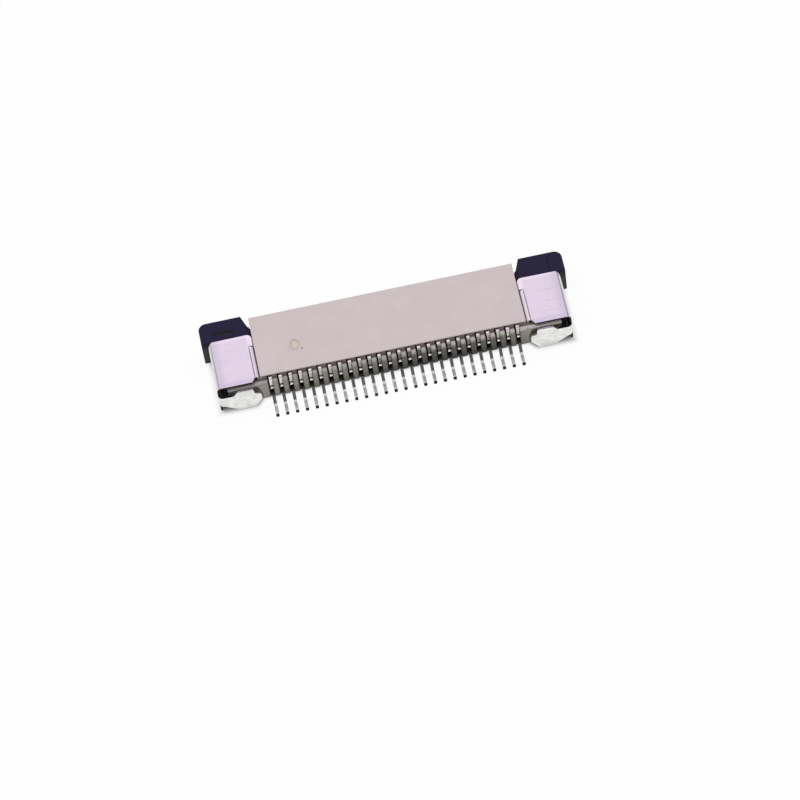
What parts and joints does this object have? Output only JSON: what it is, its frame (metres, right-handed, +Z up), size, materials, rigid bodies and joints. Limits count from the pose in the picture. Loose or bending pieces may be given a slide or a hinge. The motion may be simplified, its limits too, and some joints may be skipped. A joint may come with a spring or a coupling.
{
  "type": "fpc connector",
  "caption": "Low surface-mount connector for a flat flexible cable, with a slotted housing, a row of forked contacts, folded hold-downs and a slide lock.",
  "frame": {"origin": "middle of the footprint, at the face of the board", "axes": "+X along the row of contacts, +Y to the side where the cable enters and the slider pulls out, +Z up from the board"},
  "size_m": [0.037, 0.0106, 0.0037],
  "materials": {
    "housing_resin": "moulded beige resin, satin",
    "slider_resin": "moulded blue-black resin, fine matte",
    "hold_down_tin": "stamped sheet, matte tin plate",
    "contact_tin": "stamped blade, bright tin plate"
  },
  "bodies": {
    "connector": {"housing": "housing_resin", "hold_down_left": "hold_down_tin", "hold_down_right": "hold_down_tin", "contact_01": "contact_tin", "contact_02": "contact_tin", "contact_03": "contact_tin", "contact_04": "contact_tin", "contact_05": "contact_tin", "contact_06": "contact_tin", "contact_07": "contact_tin", "contact_08": "contact_tin", "contact_09": "contact_tin", "contact_10": "contact_tin", "contact_11": "contact_tin", "contact_12": "contact_tin", "contact_13": "contact_tin", "contact_14": "contact_tin", "contact_15": "contact_tin", "contact_16": "contact_tin", "contact_17": "contact_tin", "contact_18": "contact_tin", "contact_19": "contact_tin", "contact_20": "contact_tin", "contact_21": "contact_tin", "contact_22": "contact_tin", "contact_23": "contact_tin", "contact_24": "contact_tin", "contact_25": "contact_tin", "contact_26": "contact_tin"},
    "lock": {"slider": "slider_resin"}
  },
  "joints": [
    {"name": "slider_pull", "type": "slide", "parent": "connector", "child": "lock", "axis": [0, 1, 0], "range_m": [0, 0.0012]}
  ]
}
